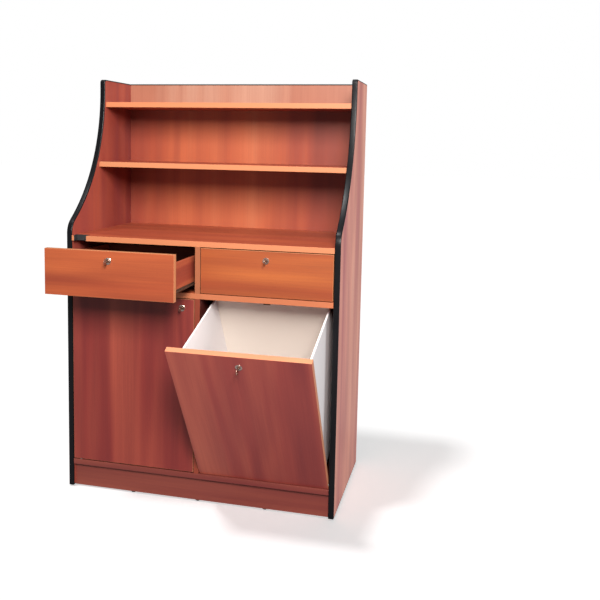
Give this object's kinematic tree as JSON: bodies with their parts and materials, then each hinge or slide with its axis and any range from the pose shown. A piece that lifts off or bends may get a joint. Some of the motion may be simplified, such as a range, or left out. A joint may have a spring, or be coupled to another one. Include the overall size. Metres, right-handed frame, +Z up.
{
  "type": "book drop cabinet",
  "caption": "Free-standing library service cabinet with an open shelf hutch above a worktop, lockable drawers, a lockable door and a tilt-out bin for returned books.",
  "frame": {"origin": "on the floor at the middle of the plinth board, under its centre glide", "axes": "+Z up, +Y towards the back, +X to the right of the person in front"},
  "size_m": [0.94, 0.7869, 1.425],
  "materials": {
    "side_laminate": "satin",
    "board_laminate": "satin",
    "drawer_laminate": "satin",
    "front_laminate": "satin",
    "back_laminate": "satin",
    "hardboard": "matte",
    "drawer_board": "satin",
    "bin_board": "satin",
    "edging": "glossy",
    "black_plastic": "matte",
    "nylon": "satin",
    "lock_metal": "polished",
    "key_metal": "satin",
    "pin_metal": "satin",
    "fitting_metal": "satin",
    "runner_metal": "satin"
  },
  "bodies": {
    "carcass": {"side_panel_left": "side_laminate", "side_panel_right": "side_laminate", "shelf_upper": "board_laminate", "shelf_middle": "board_laminate", "worktop": "board_laminate", "drawer_rail": "board_laminate", "bottom_board": "board_laminate", "divider_upper": "board_laminate", "divider_lower": "board_laminate", "plinth_board": "board_laminate", "inner_shelf": "board_laminate", "back_panel_upper": "back_laminate", "back_panel_lower": "hardboard", "side_edging_left": "edging", "side_edging_right": "edging", "back_edging": "edging", "cable_notch_liner": "black_plastic", "floor_glides": "black_plastic", "bin_stop_blocks": "black_plastic", "bin_pivot_bushes": "nylon", "door_pivot_bushes": "nylon", "shelf_pins": "pin_metal", "back_screws": "pin_metal", "lock_strikes": "pin_metal", "cam_fittings": "fitting_metal", "drawer_left_cabinet_runners": "runner_metal", "drawer_right_cabinet_runners": "runner_metal"},
    "drawer_left": {"drawer_left_front": "drawer_laminate", "drawer_left_sides": "drawer_board", "drawer_left_back": "drawer_board", "drawer_left_bottom": "hardboard", "drawer_left_runners": "runner_metal", "drawer_left_lock_case": "lock_metal"},
    "drawer_left_lock": {"drawer_left_lock_key_and_cam": "key_metal"},
    "drawer_left_rear_rollers": {"drawer_left_rear_rollers": "nylon"},
    "drawer_left_front_rollers": {"drawer_left_front_rollers": "nylon"},
    "drawer_right": {"drawer_right_front": "drawer_laminate", "drawer_right_sides": "drawer_board", "drawer_right_back": "drawer_board", "drawer_right_bottom": "hardboard", "drawer_right_runners": "runner_metal", "drawer_right_lock_case": "lock_metal"},
    "drawer_right_lock": {"drawer_right_lock_key_and_cam": "key_metal"},
    "drawer_right_rear_rollers": {"drawer_right_rear_rollers": "nylon"},
    "drawer_right_front_rollers": {"drawer_right_front_rollers": "nylon"},
    "door": {"door_panel": "front_laminate", "door_pivot_pins": "pin_metal", "door_lock_case": "lock_metal"},
    "door_lock": {"door_lock_key_and_cam": "key_metal"},
    "bin": {"bin_front_panel": "front_laminate", "bin_side_left": "bin_board", "bin_side_right": "bin_board", "bin_back_wall": "bin_board", "bin_floor": "bin_board", "bin_battens": "drawer_board", "bin_pivot_pins": "pin_metal", "bin_stop_pegs": "black_plastic", "bin_wall_screws": "pin_metal", "bin_lock_case": "lock_metal"},
    "bin_lock": {"bin_lock_key_and_cam": "key_metal"}
  },
  "joints": [
    {"name": "drawer_left_slide", "type": "slide", "parent": "carcass", "child": "drawer_left", "axis": [0, -1, 0], "range_m": [-0.178, 0.122]},
    {"name": "drawer_left_lock_turn", "type": "hinge", "parent": "drawer_left", "child": "drawer_left_lock", "pos_m": [-0.23, -0.199, 0.833], "axis": [0, 1, 0], "range_deg": [0, 90]},
    {"name": "drawer_left_rear_roller_spin", "type": "hinge", "parent": "drawer_left", "child": "drawer_left_rear_rollers", "pos_m": [-0.23, 0.205, 0.7355], "axis": [1, 0, 0], "continuous": true},
    {"name": "drawer_left_front_roller_spin", "type": "hinge", "parent": "carcass", "child": "drawer_left_front_rollers", "pos_m": [-0.23, 0.013, 0.7355], "axis": [1, 0, 0], "continuous": true},
    {"name": "drawer_right_slide", "type": "slide", "parent": "carcass", "child": "drawer_right", "axis": [0, -1, 0], "range_m": [0, 0.3]},
    {"name": "drawer_right_lock_turn", "type": "hinge", "parent": "drawer_right", "child": "drawer_right_lock", "pos_m": [0.23, -0.021, 0.833], "axis": [0, 1, 0], "range_deg": [0, 90]},
    {"name": "drawer_right_rear_roller_spin", "type": "hinge", "parent": "drawer_right", "child": "drawer_right_rear_rollers", "pos_m": [0.23, 0.383, 0.7355], "axis": [1, 0, 0], "continuous": true},
    {"name": "drawer_right_front_roller_spin", "type": "hinge", "parent": "carcass", "child": "drawer_right_front_rollers", "pos_m": [0.23, 0.013, 0.7355], "axis": [1, 0, 0], "continuous": true},
    {"name": "door_hinge", "type": "hinge", "parent": "carcass", "child": "door", "pos_m": [-0.42663, -0.012, 0.398], "axis": [0, 0, -1], "range_deg": [0, 95]},
    {"name": "door_lock_turn", "type": "hinge", "parent": "door", "child": "door_lock", "pos_m": [-0.053, -0.021, 0.662], "axis": [0, 1, 0], "range_deg": [0, 90]},
    {"name": "bin_tilt", "type": "hinge", "parent": "carcass", "child": "bin", "pos_m": [0.23, -0.012, 0.11505], "axis": [1, 0, 0], "range_deg": [-32, 0]},
    {"name": "bin_lock_turn", "type": "hinge", "parent": "bin", "child": "bin_lock", "pos_m": [0.23, -0.30311, 0.56395], "axis": [0, 0.848, 0.5299], "range_deg": [0, 90]}
  ],
  "couplings": [
    {"joint": "drawer_left_rear_roller_spin", "follows": "drawer_left_slide", "rad_per_m": 142.86},
    {"joint": "drawer_left_front_roller_spin", "follows": "drawer_left_slide", "rad_per_m": 142.86},
    {"joint": "drawer_right_rear_roller_spin", "follows": "drawer_right_slide", "rad_per_m": 142.86},
    {"joint": "drawer_right_front_roller_spin", "follows": "drawer_right_slide", "rad_per_m": 142.86}
  ]
}
